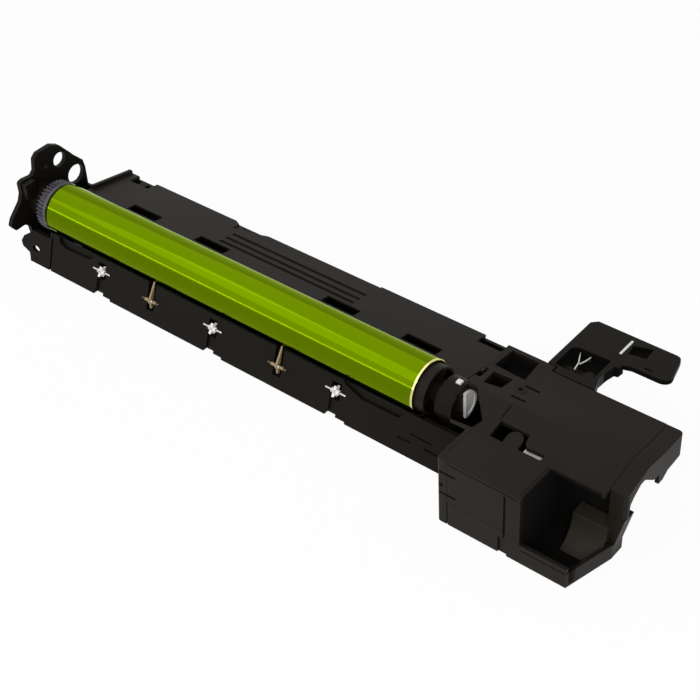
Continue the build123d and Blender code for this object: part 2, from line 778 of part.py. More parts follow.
with BuildPart() as idler_pin:
    rod(idler_y, idler_z, screw_radius - press_gap, bracket_outer, idler_start)
    rod(idler_y, idler_z, idler_pin_radius, idler_start, gear_end + seat_gap)
    rod(idler_y, idler_z, idler_pin_radius + 1, gear_end + seat_gap, gear_end + 1)
idler_pin.part.label = "idler_pin"
export_step(idler_pin.part, "parts/idler_pin.step")

auger_gear_start = gear_end - auger_gear_width
auger_end = block_left + block_shell - seat_gap
flight_start = bay_end + flight_pitch / 2
with BuildPart() as waste_auger:
    side_prism(gear_points(auger_teeth, auger_phase, auger_y, auger_z), auger_gear_start, gear_end)
    rod(auger_y, auger_z, auger_journal, bracket_face + seat_gap, auger_gear_start)
    rod(auger_y, auger_z, auger_shaft, gear_end, auger_end)
    flight_count = int((trough_end - flight_start - flight_pitch / 2) / flight_pitch) + 1
    for turn in range(flight_count):
        centre = (flight_start + turn * flight_pitch, auger_y, auger_z)
        with Locations(Location(centre, (0, 90 + flight_tilt, 0))):
            Cylinder(flight_radius, flight_thickness)
waste_auger.part.label = "waste_auger"
export_step(waste_auger.part, "parts/waste_auger.step")

# Charge roller under the drum, on sprung bearing blocks
block_width, block_depth, block_height = bearing_block
left_block = trough_start + bulkhead_thickness + seat_gap
right_block = roller_bulkhead - seat_gap - block_width
with BuildPart() as roller_core:
    rod(0, roller_z, roller_shaft, trough_start + seat_gap, roller_bulkhead + bulkhead_thickness - seat_gap)
roller_core.part.label = "charge_roller_shaft"
export_step(roller_core.part, "parts/charge_roller_shaft.step")

with BuildPart() as roller_sleeve:
    rod(0, roller_z, roller_radius, roller_start, roller_end)
    rod(0, roller_z, roller_shaft, roller_start, roller_end, Mode.SUBTRACT)
roller_sleeve.part.label = "charge_roller_sleeve"
export_step(roller_sleeve.part, "parts/charge_roller_sleeve.step")

spring_height = roller_z - block_height / 2 - floor_top
with BuildPart() as roller_bearings:
    for start in (left_block, right_block):
        slab(
            (start, start + block_width),
            (-block_depth / 2, block_depth / 2),
            (roller_z - block_height / 2, roller_z + block_height / 4),
        )
        rod(0, roller_z, roller_shaft + running_gap, start - 1, start + block_width + 1, Mode.SUBTRACT)
roller_bearings.part.label = "charge_bearings"
export_step(roller_bearings.part, "parts/charge_bearings.step")

with BuildPart() as roller_springs:
    for start in (left_block, right_block):
        slab(
            (start, start + block_width),
            (-block_depth / 3, block_depth / 3),
            (floor_top, floor_top + spring_height),
        )
roller_springs.part.label = "charge_springs"
export_step(roller_springs.part, "parts/charge_springs.step")

# Cleaning blade, the sheet that carries it and the film that keeps the toner in
blade_cosine, blade_sine = cos(radians(blade_lean)), sin(radians(blade_lean))
tip_y, tip_z = blade_tip


def blade_point(down, back):
    """A point of the blade's section, measured down from its working edge and back from its face."""
    return (tip_y + down * blade_sine + back * blade_cosine, tip_z - down * blade_cosine + back * blade_sine)


with BuildPart() as cleaning_blade:
    side_prism(
        (
            blade_point(0, 0),
            blade_point(blade_length, 0),
            blade_point(blade_length, blade_thickness),
            blade_point(0, blade_thickness),
        ),
        *blade_span,
    )
cleaning_blade.part.label = "cleaning_blade"
export_step(cleaning_blade.part, "parts/cleaning_blade.step")

sheet_start = blade_length / 2
with BuildPart() as blade_bracket:
    side_prism(
        (
            blade_point(sheet_start, blade_thickness),
            blade_point(blade_length + 1, blade_thickness),
            blade_point(blade_length + 1, blade_thickness + bracket_sheet),
            blade_point(sheet_start, blade_thickness + bracket_sheet),
        ),
        *blade_span,
    )
    slab(blade_span, (partition_y - bracket_sheet, partition_y), bracket_flange)
blade_bracket.part.label = "blade_bracket"
export_step(blade_bracket.part, "parts/blade_bracket.step")

# Star wheels that guide the paper, each on its own axle
for number, place in enumerate(star_places, 1):
    with BuildPart() as star_wheel:
        outline = []
        for point in range(2 * star_points):
            reach = star_radius if point % 2 == 0 else star_root
            angle = pi * point / star_points + pi / 2
            outline.append((star_y + reach * cos(angle), star_z + reach * sin(angle)))
        side_prism(outline, place - star_width / 2, place + star_width / 2)
        rod(star_y, star_z, star_hub_radius, place - star_hub_width / 2, place + star_hub_width / 2)
        rod(star_y, star_z, axle_radius + running_gap, place - star_hub_width, place + star_hub_width,
            Mode.SUBTRACT)
    star_wheel.part.label = f"star_wheel_{number}"
    export_step(star_wheel.part, f"parts/star_wheel_{number}.step")

with BuildPart() as star_axles:
    for place in star_places:
        rod(star_y, star_z, axle_radius, place - axle_length / 2, place + axle_length / 2)
star_axles.part.label = "star_axles"
export_step(star_axles.part, "parts/star_axles.step")

# Separation claws: a boss on a pin, a finger that points at the drum and a tail
finger_angle = radians(-155.0)
finger_reach = drum_radius + claw_tip_gap
finger_tip = (finger_reach * cos(finger_angle), finger_reach * sin(finger_angle))
for number, place in enumerate(claw_places, 1):
    with BuildPart() as claw:
        rod(claw_y, claw_z, claw_boss, place - claw_width / 2, place + claw_width / 2)
        side_prism(
            (
                finger_tip,
                (claw_y + claw_boss, claw_z),
                (claw_y - claw_finger, claw_z - claw_boss / 2),
                (claw_y - claw_finger, claw_z + claw_boss),
            ),
            place - claw_width / 2,
            place + claw_width / 2,
        )
        side_prism(
            (
                (claw_y - claw_finger, claw_z),
                (claw_y + claw_finger, claw_z),
                (claw_y + claw_finger / 2, claw_slot_foot + 1),
                (claw_y - claw_finger, claw_slot_foot + 1),
            ),
            place - claw_width / 2,
            place + claw_width / 2,
        )
        bore = claw_pin_radius + running_gap
        rod(claw_y, claw_z, bore, place - claw_width, place + claw_width, Mode.SUBTRACT)
    claw.part.label = f"separation_claw_{number}"
    export_step(claw.part, f"parts/separation_claw_{number}.step")

with BuildPart() as claw_pins:
    for place in claw_places:
        rod(claw_y, claw_z, claw_pin_radius, place - claw_pin_length / 2, place + claw_pin_length / 2)
claw_pins.part.label = "claw_pins"
export_step(claw_pins.part, "parts/claw_pins.step")

# Toner block: floor, left wall, front corner and sills round the bay
floor_inner = floor_z + block_shell
wall_seat = hump_back_top - well_depth - seat_gap
tongue_foot = hump_back_top - hump_skirt - arm_tongue - 2 * seat_gap
post_top = end_cover_foot - seat_gap
with BuildPart() as block_housing:
    block_plan = (
        (block_left, block_front),
        (block_corner, block_front),
        (block_right, side_bend_y),
        (block_right, bay_depth_y),
        (block_deep_right, bay_depth_y),
        (block_deep_right, block_back),
        (hub_cover_right, block_back),
        (hub_cover_right, narrow_back),
        (block_left, narrow_back),
    )
    plan_prism(block_plan, floor_z, floor_inner)
    # left wall and the front corner beside the front cover
    slab((block_left, block_left + block_shell), (block_front, narrow_back), (floor_z, wall_seat))
    slab((block_left, cover_seam - seat_gap), (block_front, block_front + block_shell), (floor_z, front_top))
    slab((block_left, block_left + block_shell), (block_front, valley_y), (floor_z, front_top))
    # front wall below the front cover, then the low sills of the bay
    seam_z = front_cover_bottom - seat_gap
    slab((block_left, bay_left), (block_front, block_front + block_shell), (floor_z, seam_z))
    slab((bay_left, block_corner), (block_front, block_front + block_shell), (floor_z, floor_z + sill_height))
    side_sill = (
        (block_corner, block_front),
        (block_right, side_bend_y),
        (block_right, bay_depth_y),
        (block_right - block_shell, bay_depth_y),
        (block_right - block_shell, side_bend_y),
        (block_corner - block_shell, block_front + block_shell / 2),
    )
    plan_prism(side_sill, floor_z, floor_z + side_sill_height)
    # wall at the back of the bay and the walls of the deep part
    slab((bay_left - block_shell, hump_right), (bay_depth_y - block_shell, bay_depth_y), (floor_z, wall_seat))
    slab((bay_left - block_shell, block_right), (bay_depth_y - block_shell, bay_depth_y), (floor_z, post_top))
    slab((block_deep_right - block_shell, block_deep_right), (bay_depth_y, block_back), (floor_z, wall_seat))
    slab((hub_cover_right, block_deep_right), (block_back - block_shell, block_back), (floor_z, tongue_foot))
    slab((block_left, hub_cover_right), (narrow_back - block_shell, narrow_back), (floor_z, tongue_foot))
    slab(
        (hub_cover_right - block_shell, hub_cover_right),
        (block_back - block_shell, narrow_back),
        (floor_z, tongue_foot),
    )
    slab((bay_left - block_shell, bay_left), (block_front, bay_depth_y), (floor_z, seam_z))
    # leaning post at the bay's right rear corner
    post_outline = (
        (block_right - prop_width, floor_z),
        (block_right, floor_z),
        (block_right, floor_z + prop_foot),
        (end_cover_right - 2 * seat_gap, post_top),
        (block_right - prop_width, post_top),
    )
    front_prism(post_outline, bay_depth_y - prop_depth, bay_depth_y)
    corner = block_housing.edges().filter_by(Axis.Z).sort_by(lambda e: e.center().X + e.center().Y)[0]
    fillet(corner, corner_rounding)
    for x_low, x_high, z_low, z_high in front_marks:
        slab(
            (block_left + x_low, block_left + x_high),
            (block_front - 1, block_front + front_mark_depth),
            (z_low, z_high),
            Mode.SUBTRACT,
        )
    hole_x, hole_z, hole_radius = front_hole
    with Locations(Location((block_left + hole_x, block_front, hole_z), (90, 0, 0))):
        Cylinder(hole_radius, 2 * front_mark_depth, mode=Mode.SUBTRACT)
    wall_span = (block_left - 1, block_left + block_shell + 1)
    rod(auger_y, auger_z, auger_shaft + running_gap, *wall_span, Mode.SUBTRACT)
    for screw_y, screw_z in right_screws:
        rod(screw_y, screw_z, screw_radius, *wall_span, Mode.SUBTRACT)
    # the toner falls through beside the auger's end
    slab(
        wall_span,
        (auger_y - flight_radius - 2, auger_y - auger_shaft - 1),
        (auger_z - flight_radius, auger_z + flight_radius),
        Mode.SUBTRACT,
    )
block_housing.part.label = "block_housing"
export_step(block_housing.part, "parts/block_housing.step")

# Front cover of the block, with the bay's left wall
with BuildPart() as front_cover:
    slab((cover_seam, bay_left), (block_front, block_front + block_shell), (front_cover_bottom, front_top))
    slab(
        (block_left + block_shell + seat_gap, bay_left),
        (block_front, valley_y),
        (front_top - block_shell, front_top),
    )
    slab(
        (bay_left - block_shell, bay_left),
        (block_front, bay_depth_y - block_shell - seat_gap),
        (front_cover_bottom, front_top - block_shell),
    )
    slab(
        (block_left, cover_seam),
        (block_front - 1, block_front + block_shell + seat_gap),
        (front_cover_bottom, front_top + 1),
        Mode.SUBTRACT,
    )
    for x_low, x_high, z_low, z_high in front_marks:
        slab(
            (block_left + x_low, block_left + x_high),
            (block_front - 1, block_front + front_mark_depth),
            (z_low, z_high),
            Mode.SUBTRACT,
        )
front_cover.part.label = "front_cover"
export_step(front_cover.part, "parts/front_cover.step")

# Hump over the block: one shell with two wells and a cut round the coupling
ridge_y, ridge_z = ridge
slope_fall = (ridge_z - front_top) / (ridge_y - valley_y)
top_fall = (ridge_z - hump_back_top) / (hump_bend_y - ridge_y)
hump_outline = (
    (hump_back, hump_back_top - hump_skirt),
    (hump_back, hump_back_top),
    (hump_bend_y, hump_back_top),
    (ridge_y, ridge_z),
    (valley_y, front_top),
    (valley_y, front_top - hump_shell),
    (ridge_y, ridge_z - hump_shell),
    (hump_bend_y, hump_back_top - hump_shell),
    (hump_back - hump_shell, hump_back_top - hump_shell),
    (hump_back - hump_shell, hump_back_top - hump_skirt),
)
with BuildPart() as top_cover:
    side_prism(hump_outline, hump_left, hump_right)
    slab(
        (hump_left, hub_cover_right),
        (hump_bend_y, hub_cover_back),
        (hump_back_top - hump_shell, hump_back_top),
    )
    for well in (well_big, well_small):
        with BuildSketch(Plane.XY.offset(hump_back_top - well_depth)) as walls:
            with BuildLine():
                Polyline(*from_block(well), close=True)
            make_face()
            offset(amount=block_shell, kind=Kind.INTERSECTION)
        extrude(walls.sketch, amount=well_depth - hump_shell / 2)
    for well in (well_big, well_small):
        plan_prism(from_block(well), hump_back_top - well_depth + block_shell, ridge_z + 1, Mode.SUBTRACT)
    plan_prism(from_block(bite), floor_z, ridge_z + 1, Mode.SUBTRACT)
    notch_x, notch_y = edge_notch
    slab(
        (block_left + notch_x[0], block_left + notch_x[1]),
        notch_y,
        (hump_back_top - 2 * hump_shell, ridge_z),
        Mode.SUBTRACT,
    )
    # window in the front slope, with a round tab that stands up from its lower edge
    plan_prism(from_block(slope_window), front_top - 2 * hump_shell, ridge_z, Mode.SUBTRACT)
    lobe_x, lobe_y = window_tab
    lobe_z = front_top + (lobe_y - valley_y) * slope_fall - hump_shell / 2
    slope_angle = degrees(atan2(ridge_z - front_top, ridge_y - valley_y))
    with Locations(Location((block_left + lobe_x, lobe_y, lobe_z), (slope_angle, 0, 0))):
        Cylinder(tab_radius, hump_shell / 2)
        with Locations((0, (valley_y - lobe_y) / 2, 0)):
            Box(2 * tab_radius, lobe_y - valley_y, hump_shell / 2)
    # marks on the flat top: two slots, a ringed boss and a seam
    for slot_x, slot_y in hump_slots:
        slot_top = ridge_z - (sum(slot_y) / 2 - ridge_y) * top_fall
        slab(
            (block_left + slot_x[0], block_left + slot_x[1]),
            slot_y,
            (slot_top - slot_depth, ridge_z),
            Mode.SUBTRACT,
        )
    boss_x, boss_y = boss
    boss_top = ridge_z - (boss_y - ridge_y) * top_fall
    with Locations((block_left + boss_x, boss_y, boss_top)):
        Cylinder(boss_radius, 2 * boss_height)
        Cylinder(boss_hole, 2 * slot_depth, mode=Mode.SUBTRACT)
    seam_x, seam_y = hump_seam
    seam_outline = (
        (seam_y[0], ridge_z + 1),
        (seam_y[0], ridge_z - (ridge_y - seam_y[0]) * slope_fall - slot_depth / 2),
        (seam_y[1], ridge_z - (ridge_y - seam_y[1]) * slope_fall - slot_depth / 2),
        (seam_y[1], ridge_z + 1),
    )
    side_prism(seam_outline, block_left + seam_x[0], block_left + seam_x[1], Mode.SUBTRACT)
top_cover.part.label = "top_cover"
export_step(top_cover.part, "parts/top_cover.step")

# Pale shutter strip under the window of the hump
with BuildPart() as toner_shutter:
    strip_x, strip_y, strip_z = shutter_span
    slab((block_left + strip_x[0], block_left + strip_x[1]), strip_y, strip_z)
toner_shutter.part.label = "toner_shutter"
export_step(toner_shutter.part, "parts/toner_shutter.step")

# End cover at the far right: the hump's last strip with its side wall
front_fall = ridge_z - (ridge_y - end_cover_front) * slope_fall
end_profile = (
    (hump_back, end_cover_skirt),
    (hump_back, hump_back_top),
    (hump_bend_y, hump_back_top),
    (ridge_y, ridge_z),
    (end_cover_front, front_fall),
    (end_cover_front, end_cover_foot),
    *arch,
)
with BuildPart() as end_cover:
    side_prism(end_profile, hump_right + seat_gap, end_cover_right)
    inner_profile = (
        (hump_back - hump_shell, end_cover_foot - 1),
        (hump_back - hump_shell, hump_back_top - hump_shell),
        (hump_bend_y, hump_back_top - hump_shell),
        (ridge_y, ridge_z - hump_shell),
        (end_cover_front + hump_shell, front_fall + hump_shell * (slope_fall - 1)),
        (end_cover_front + hump_shell, end_cover_foot - 1),
    )
    side_prism(inner_profile, hump_right, end_cover_right - hump_shell, Mode.SUBTRACT)
end_cover.part.label = "end_cover"
export_step(end_cover.part, "parts/end_cover.step")

# Curved chute in the bay
chute_start = bay_left + chute_gap
chute_end = block_right - chute_inset
with BuildPart() as waste_chute:
    with BuildSketch(Plane.YZ.offset(chute_start)) as chute:
        with BuildLine():
            start = (bay_depth_y - block_shell - seat_gap, floor_inner)
            Polyline((chute_foot, floor_inner), start, (start[0], chute_top), chute_lip)
            ThreePointArc(chute_lip, chute_waist, (chute_foot, floor_inner))
        make_face()
    extrude(chute.sketch, amount=chute_end - chute_start)
waste_chute.part.label = "waste_chute"
export_step(waste_chute.part, "parts/waste_chute.step")

# Arm that reaches back from the block
with BuildPart() as handle_arm:
    plan_prism(from_block(arm_outline), arm_top - arm_strip, arm_top)
    plan_prism(from_block(arm_root), arm_top - arm_thickness, arm_top)
    plan_prism(from_block(arm_pocket), arm_top - arm_thickness + arm_pocket_floor, arm_top + 1, Mode.SUBTRACT)
    column_x, column_y = arm_column
    column_height = arm_thickness - column_drop
    with Locations((block_left + column_x, column_y, arm_top - arm_thickness + column_height / 2)):
        Cylinder(column_radius, column_height)
    for opening in (arm_window, arm_slit):
        plan_prism(from_block(opening), arm_top - arm_strip - 1, arm_top + 1, Mode.SUBTRACT)
    mark_x, mark_y = arm_mark
    slab(
        (block_left + mark_x[0], block_left + mark_x[1]),
        mark_y,
        (arm_top - mark_depth, arm_top + 1),
        Mode.SUBTRACT,
    )
    # tongue that reaches under the hump's back edge
    tongue_top = hump_back_top - hump_skirt - seat_gap
    tongue_front = hump_back + seat_gap
    tongue_x = (block_left + tongue_span[0], block_left + tongue_span[1])
    slab(
        tongue_x,
        (tongue_front, tongue_front + tongue_wall),
        (tongue_top - arm_tongue, arm_top - arm_thickness),
    )
    slab(
        tongue_x,
        (block_back - block_shell - tongue_reach, tongue_front),
        (tongue_top - arm_tongue, tongue_top),
    )
handle_arm.part.label = "handle_arm"
export_step(handle_arm.part, "parts/handle_arm.step")

# Forked contact strip that stands in the arm's pocket
with BuildPart() as contact_spring:
    plan_prism(from_block(fork_outline), arm_top - arm_thickness + arm_pocket_floor, arm_top - 1)
contact_spring.part.label = "contact_spring"
export_step(contact_spring.part, "parts/contact_spring.step")

# Earth plate that joins the tube to the drive flange's bore
plate_start = drum_start + flange_plug
with BuildPart() as earth_plate:
    rod(0, 0, drum_radius - drum_wall - press_gap, plate_start, plate_start + earth_thickness)
    rod(0, 0, flange_bore - 1, plate_start - 1, plate_start + 1, Mode.SUBTRACT)
earth_plate.part.label = "earth_plate"
export_step(earth_plate.part, "parts/earth_plate.step")

# Felt seals round the drum in the two cross walls
with BuildPart() as end_seals:
    for start in (trough_start, roller_bulkhead):
        rod(0, 0, drum_radius + drum_clearance, start, start + bulkhead_thickness)
        rod(0, 0, drum_radius + seal_gap, start, start + bulkhead_thickness, Mode.SUBTRACT)
        slab(
            (start - 1, start + bulkhead_thickness + 1),
            (-drum_radius - 2, drum_radius + 2),
            (partition_top, drum_radius + 2),
            Mode.SUBTRACT,
        )
end_seals.part.label = "end_seals"
export_step(end_seals.part, "parts/end_seals.step")

# Torsion springs beside the claws
with BuildPart() as claw_springs:
    for place in claw_places:
        coil_start = place + claw_width / 2 + seat_gap
        rod(claw_y, claw_z, claw_boss - seat_gap, coil_start, coil_start + claw_width)
        coil_end = coil_start + claw_width
        rod(claw_y, claw_z, claw_pin_radius + press_gap, coil_start - 1, coil_end + 1, Mode.SUBTRACT)
claw_springs.part.label = "claw_springs"
export_step(claw_springs.part, "parts/claw_springs.step")

# Screws: two at each end of the trough, their heads inside the end housings
with BuildPart() as frame_screws:
    head_face = bay_end - bulkhead_thickness
    for screw_y, screw_z in left_screws:
        rod(screw_y, screw_z, screw_head_radius, head_face - screw_head_height, head_face)
        rod(screw_y, screw_z, screw_radius - press_gap, head_face, trough_start + bulkhead_thickness + 1)
    head_face = block_left + block_shell
    for screw_y, screw_z in right_screws:
        rod(screw_y, screw_z, screw_head_radius, head_face, head_face + screw_head_height)
        rod(screw_y, screw_z, screw_radius - press_gap, trough_end - bulkhead_thickness - 1, head_face)
frame_screws.part.label = "frame_screws"
export_step(frame_screws.part, "parts/frame_screws.step")
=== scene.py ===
import json
import math

import bpy
from mathutils import Matrix, Vector

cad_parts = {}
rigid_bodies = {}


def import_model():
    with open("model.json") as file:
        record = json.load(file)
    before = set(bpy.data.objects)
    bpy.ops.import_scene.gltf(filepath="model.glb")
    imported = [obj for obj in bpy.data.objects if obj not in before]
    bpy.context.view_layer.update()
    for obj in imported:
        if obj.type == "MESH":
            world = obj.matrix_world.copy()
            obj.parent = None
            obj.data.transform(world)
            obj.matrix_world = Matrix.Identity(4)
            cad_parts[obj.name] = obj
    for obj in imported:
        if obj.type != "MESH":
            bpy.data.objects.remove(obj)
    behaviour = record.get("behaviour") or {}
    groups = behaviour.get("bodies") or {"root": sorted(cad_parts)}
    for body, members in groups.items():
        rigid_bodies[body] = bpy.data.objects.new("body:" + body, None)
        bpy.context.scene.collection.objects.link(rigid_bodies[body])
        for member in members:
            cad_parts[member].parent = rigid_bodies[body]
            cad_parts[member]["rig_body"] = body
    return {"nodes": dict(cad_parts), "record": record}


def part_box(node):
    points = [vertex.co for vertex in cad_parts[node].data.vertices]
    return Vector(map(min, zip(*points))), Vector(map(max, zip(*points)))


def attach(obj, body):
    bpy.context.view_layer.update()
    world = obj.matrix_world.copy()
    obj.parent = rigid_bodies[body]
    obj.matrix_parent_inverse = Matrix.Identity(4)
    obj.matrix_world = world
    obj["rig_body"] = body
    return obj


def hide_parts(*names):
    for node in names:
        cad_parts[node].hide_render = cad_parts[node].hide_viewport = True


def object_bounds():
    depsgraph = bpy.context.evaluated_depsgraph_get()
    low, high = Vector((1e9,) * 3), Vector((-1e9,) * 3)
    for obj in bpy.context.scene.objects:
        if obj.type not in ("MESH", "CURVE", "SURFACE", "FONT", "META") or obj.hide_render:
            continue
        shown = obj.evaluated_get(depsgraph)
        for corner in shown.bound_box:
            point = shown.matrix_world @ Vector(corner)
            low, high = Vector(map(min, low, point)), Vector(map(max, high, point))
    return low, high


mm = 0.001
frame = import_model()
nodes = frame["nodes"]
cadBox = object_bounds()
print("frame loaded:", len(nodes), "nodes")


def nodeBox(name):  # lowest and highest corner in mm
    return [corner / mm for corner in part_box(name)]


tubeLow, tubeHigh = nodeBox("drum_tube")
armLow, armHigh = nodeBox("handle_arm")
armCorner = Vector((armLow.x, armLow.y, armHigh.z))
coverLow, coverHigh = nodeBox("top_cover")
coverCorner = Vector((coverLow.x, coverLow.y, coverHigh.z))
blockCorner = nodeBox("block_housing")[0]

# camera: the place and aim that the photograph's long parallel edges give
cameraSettings = {
    "place": (627.95, -450.34, 503.63),
    "azimuth": 41.554,
    "elevation": 40.007,
    "roll": -3.542,
    "lens": 79.01,
    "sensor": 36.0,
    "nearest": 0.01,
}


def makeCamera(settings):
    aim = (
        Matrix.Rotation(math.radians(settings["azimuth"]), 4, "Z")
        @ Matrix.Rotation(math.radians(90 - settings["elevation"]), 4, "X")
        @ Matrix.Rotation(math.radians(settings["roll"]), 4, "Z")
    )
    data = bpy.data.cameras.new("productCamera")
    data.lens = settings["lens"]
    data.sensor_width = settings["sensor"]
    data.clip_start = settings["nearest"]
    camera = bpy.data.objects.new("productCamera", data)
    camera.matrix_world = Matrix.Translation(Vector(settings["place"]) * mm) @ aim
    bpy.context.scene.collection.objects.link(camera)
    bpy.context.scene.camera = camera


makeCamera(cameraSettings)
print("camera placed")

# sockets of a Mix node, which has one set for colours and one for values
colourFirst, colourSecond, colourOut = 6, 7, 2
valueFirst, valueSecond, valueOut = 2, 3, 0


def linearColour(code):
    channels = [int(code[place:place + 2], 16) / 255 for place in (1, 3, 5)]
    return (*[c / 12.92 if c <= 0.04045 else ((c + 0.055) / 1.055) ** 2.4 for c in channels], 1)


# a setting or link goes to the socket of that name or number, and other settings to the node itself
def addNode(tree, kind, settings=None, links=None):
    node = tree.nodes.new(kind)
    for name, value in (settings or {}).items():
        if isinstance(name, int) or name in node.inputs:
            node.inputs[name].default_value = value
        else:
            setattr(node, name, value)
    for name, source in (links or {}).items():
        tree.links.new(source, node.inputs[name])
    return node


def clearedTree(owner):  # of a material or the world
    owner.use_nodes = True
    owner.node_tree.nodes.clear()
    return owner.node_tree


def newMaterial(name):
    material = bpy.data.materials.new(name)
    tree = clearedTree(material)
    place = addNode(tree, "ShaderNodeTexCoord").outputs["Object"]
    return material, tree, place


def finishMaterial(tree, links, settings):
    shader = addNode(tree, "ShaderNodeBsdfPrincipled", settings, links)
    addNode(tree, "ShaderNodeOutputMaterial", links={"Surface": shader.outputs["BSDF"]})


def variedFinish(tree, place, look):  # colour and roughness wander together over patches of a size in mm
    patches = addNode(tree, "ShaderNodeTexNoise", {
        "Scale": 1 / (look["patch"] * mm), "Detail": look.get("detail", 4.0),
    }, {"Vector": place}).outputs["Fac"]
    colour = addNode(tree, "ShaderNodeMix", {
        "data_type": "RGBA",
        colourFirst: linearColour(look["dark"]),
        colourSecond: linearColour(look["light"]),
    }, {"Factor": patches})
    low, high = look["roughness"]
    rough = addNode(tree, "ShaderNodeMapRange", {"To Min": low, "To Max": high}, {"Value": patches})
    return colour.outputs[colourOut], rough.outputs["Result"]


# moulded black ABS: a fine spark-eroded grain, a little sheen and faint dusty patches, with painted shade
# darkening its hollows
blackAbs = {
    "dark": "#120e09",
    "light": "#1e1914",
    "grain": 0.55,  # mm, drawn coarser than the real 0.1 mm so that it shows
    "grainDetail": 3.0,
    "patch": 38.0,
    "roughness": (0.40, 0.54),
    "bump": 0.10,
    "specular": 0.10,
    # near-black colour of the painted shade in the hollows
    "paintedShadeColour": "#040302",
    "paintedShadeRoughness": 0.95,
    "paintedShadeBoxes": {  # painted shade in the hollows, darker and rougher there: a corner of the frame, and from it two corners in mm
        "bay": (blockCorner, (44.7, 2.5, 2.4), (72.5, 36.1, 40.2), 1.4),
        "armPocket": (armCorner, (-1.4, 19.7, -8.4), (56.6, 37.0, -0.8), 0.5),
        "armWindow": (armCorner, (25.3, 37.5, -4.4), (38.2, 49.9, -0.7), 0.4),
        "coverWells": (coverCorner, (2.3, 25.2, -44.8), (21.5, 54.6, -4.2), 1.2),
    },
}
grainDepth = 0.05  # mm


def boxShare(tree, place, low, high, fade):  # 1 inside the box, fading to 0 outside it
    axes = addNode(tree, "ShaderNodeSeparateXYZ", links={"Vector": place})
    share = None
    for number, letter in enumerate("XYZ"):
        for edge, side in ((low[number], -1), (high[number], 1)):
            inside = addNode(tree, "ShaderNodeMapRange", {
                "interpolation_type": "SMOOTHSTEP",
                "From Min": (edge + side * fade) * mm,
                "From Max": edge * mm,
            }, {"Value": axes.outputs[letter]}).outputs["Result"]
            share = inside if share is None else addNode(
                tree, "ShaderNodeMath", {"operation": "MULTIPLY"}, {0: share, 1: inside},
            ).outputs[0]
    return share


def mouldedPlastic(name, look):
    material, tree, place = newMaterial(name)
    colour, rough = variedFinish(tree, place, look)
    # painted shade: the colour goes near-black and rough inside each box
    for corner, low, high, fade in look.get("paintedShadeBoxes", {}).values():
        share = boxShare(tree, place, corner + Vector(low), corner + Vector(high), fade)
        colour = addNode(tree, "ShaderNodeMix", {
            "data_type": "RGBA", colourSecond: linearColour(look["paintedShadeColour"]),
        }, {"Factor": share, colourFirst: colour}).outputs[colourOut]
        rough = addNode(tree, "ShaderNodeMix", {
            "data_type": "FLOAT", valueSecond: look["paintedShadeRoughness"],
        }, {"Factor": share, valueFirst: rough}).outputs[valueOut]
    grain = addNode(tree, "ShaderNodeTexNoise", {
        "Scale": 1 / (look["grain"] * mm), "Detail": look.get("grainDetail", 3.0),
    }, {"Vector": place})
    bump = addNode(tree, "ShaderNodeBump", {
        "Strength": look["bump"], "Distance": grainDepth * mm,
    }, {"Height": grain.outputs["Fac"]})
    finishMaterial(tree, {
        "Base Color": colour, "Roughness": rough, "Normal": bump.outputs["Normal"],
    }, {"IOR": 1.5, "Specular IOR Level": look["specular"]})
    return material


blackPlastic = mouldedPlastic("mouldedBlackAbs", blackAbs)
# a lighter copy of the same ABS with a little more sheen and no painted shade: painted light, for the
# chute's lit face
litPlastic = mouldedPlastic("mouldedBlackAbsPaintedLight", {
    **blackAbs, "dark": "#1d1913", "light": "#2a251f", "specular": 0.14, "paintedShadeBoxes": {},
})
# a darker copy of the same ABS with less sheen: painted shade on the frame, the drive end, the arm, the sunk
# window floor and the flange's pocket
shadedPlastic = mouldedPlastic("mouldedBlackAbsPaintedShade", {
    **blackAbs, "dark": "#0b0805", "light": "#15110c", "specular": 0.08,
})
# grains of the next six are drawn coarser than the real ones too, so that they show
# moulded grey POM: waxy lavender grey with a soft shine along the teeth
greyPlastic = mouldedPlastic("mouldedGreyPom", {
    "dark": "#34323a", "light": "#48464d", "grain": 0.5, "patch": 9.0,
    "roughness": (0.35, 0.5), "bump": 0.08, "specular": 0.4,
})
# moulded white POM: bright and waxy, a shade greyer where it has been handled
whitePlastic = mouldedPlastic("mouldedWhitePom", {
    "dark": "#dbd9d5", "light": "#f2f1ee", "grain": 0.4, "patch": 3.0,
    "roughness": (0.35, 0.5), "bump": 0.08, "specular": 0.5,
})
# moulded amber PPS: warm brown, half glossy, mottled by its filler
amberPlastic = mouldedPlastic("mouldedAmberPps", {
    "dark": "#6b5529", "light": "#a8936a", "grain": 0.4, "patch": 4.0,
    "roughness": (0.3, 0.45), "bump": 0.08, "specular": 0.5,
})
# conductive rubber: soft black with hardly any shine
darkRubber = mouldedPlastic("conductiveRubber", {
    "dark": "#161616", "light": "#222222", "grain": 0.5, "patch": 12.0,
    "roughness": (0.6, 0.75), "bump": 0.12, "specular": 0.25,
})
# cast polyurethane: honey brown, smooth and a little glossy
bladeRubber = mouldedPlastic("castPolyurethane", {
    "dark": "#7a6a3c", "light": "#96854e", "grain": 0.6, "patch": 20.0,
    "roughness": (0.35, 0.45), "bump": 0.05, "specular": 0.5,
})
# pressed wool felt: fuzzy dark grey with no shine
felt = mouldedPlastic("pressedFelt", {
    "dark": "#3c3b38", "light": "#575550", "grain": 0.7, "patch": 3.0,
    "roughness": (0.85, 0.95), "bump": 0.5, "specular": 0.1,
})

